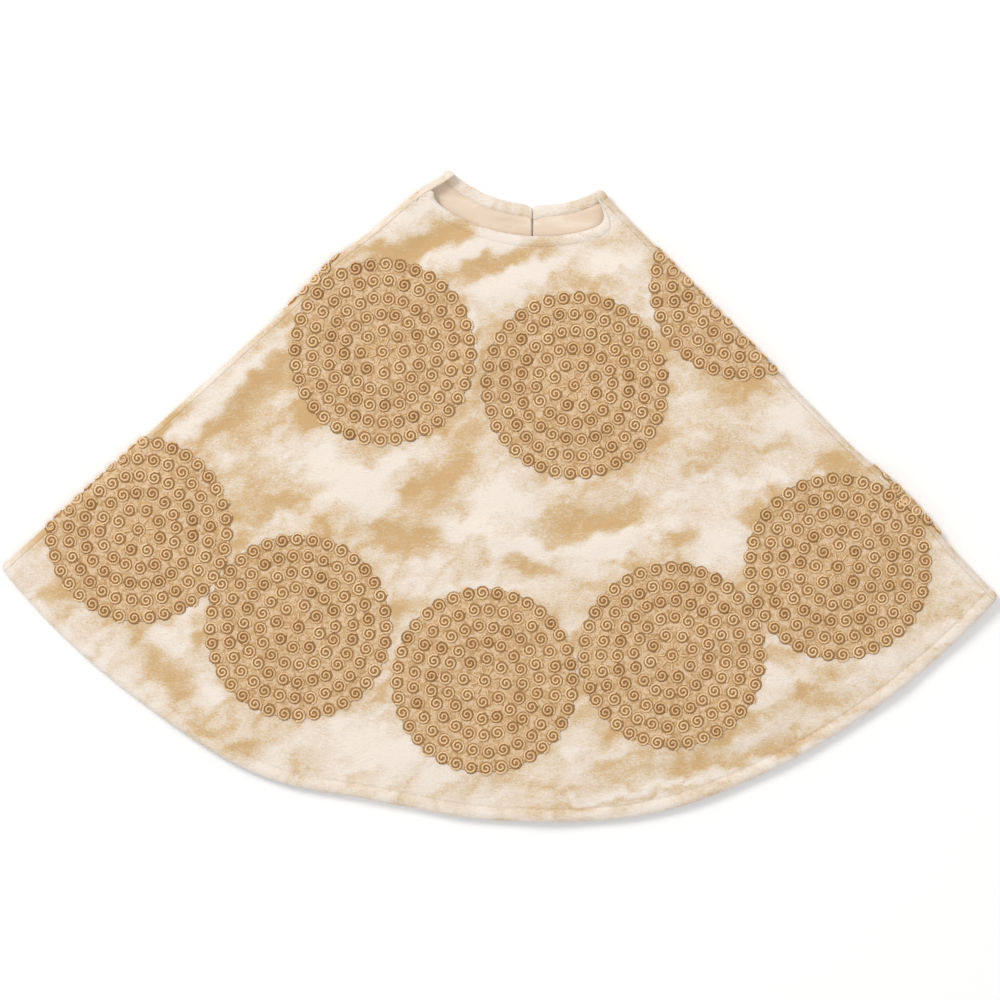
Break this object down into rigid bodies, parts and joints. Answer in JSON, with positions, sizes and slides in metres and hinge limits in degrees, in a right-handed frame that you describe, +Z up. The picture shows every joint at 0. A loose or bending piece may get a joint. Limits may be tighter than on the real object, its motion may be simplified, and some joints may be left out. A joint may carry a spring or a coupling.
{
  "type": "tree skirt",
  "caption": "Crushed velvet tree skirt with corded medallions, closed into a cone and laid flat as a fan; its back panels fold open from the slit.",
  "frame": {"origin": "middle of the skirt's footprint, on the surface it lies on", "axes": "+Z up out of the front layer, +Y from the hem towards the neck, +X to the right as seen from above"},
  "size_m": [0.8592, 0.5608, 0.0158],
  "materials": {
    "crushed_velvet": "crushed velvet, pile brushed in soft patches",
    "lining_satin": "matt lining satin",
    "gold_cord": "coiled cord embroidery with a soft sheen",
    "ribbon_satin": "satin ribbon"
  },
  "bodies": {
    "front": {"hem_facing_front": "crushed_velvet", "lining_front": "lining_satin", "neck_binding_front": "crushed_velvet", "velvet_front": "crushed_velvet", "medallion_upper_2": "gold_cord", "medallion_upper_3": "gold_cord", "medallion_upper_4_wrap": "gold_cord", "medallion_lower_3": "gold_cord", "medallion_lower_4": "gold_cord", "medallion_lower_5": "gold_cord", "medallion_lower_6": "gold_cord", "medallion_lower_7": "gold_cord"},
    "back_left": {"hem_facing_back_left": "crushed_velvet", "lining_back_left": "lining_satin", "neck_binding_back_left": "crushed_velvet", "ribbon_tie_left_1": "ribbon_satin", "ribbon_tie_left_2": "ribbon_satin", "ribbon_tie_left_3": "ribbon_satin", "slit_facing_left": "crushed_velvet", "velvet_back_left": "crushed_velvet", "medallion_upper_1": "gold_cord", "medallion_lower_1": "gold_cord", "medallion_lower_2": "gold_cord", "medallion_lower_3_wrap": "gold_cord"},
    "back_right": {"hem_facing_back_right": "crushed_velvet", "lining_back_right": "lining_satin", "neck_binding_back_right": "crushed_velvet", "ribbon_tie_right_1": "ribbon_satin", "ribbon_tie_right_2": "ribbon_satin", "ribbon_tie_right_3": "ribbon_satin", "slit_facing_right": "crushed_velvet", "velvet_back_right": "crushed_velvet", "medallion_upper_4": "gold_cord", "medallion_lower_8": "gold_cord", "medallion_lower_9": "gold_cord"}
  },
  "joints": [
    {"name": "left_fold", "type": "hinge", "parent": "front", "child": "back_left", "pos_m": [-0.20884, 0.13808, 0.0079], "axis": [0.7408, 0.6717, 0], "range_deg": [0, 180]},
    {"name": "right_fold", "type": "hinge", "parent": "front", "child": "back_right", "pos_m": [0.22114, 0.12531, 0.0079], "axis": [0.6997, -0.7145, 0], "range_deg": [0, 180]}
  ]
}
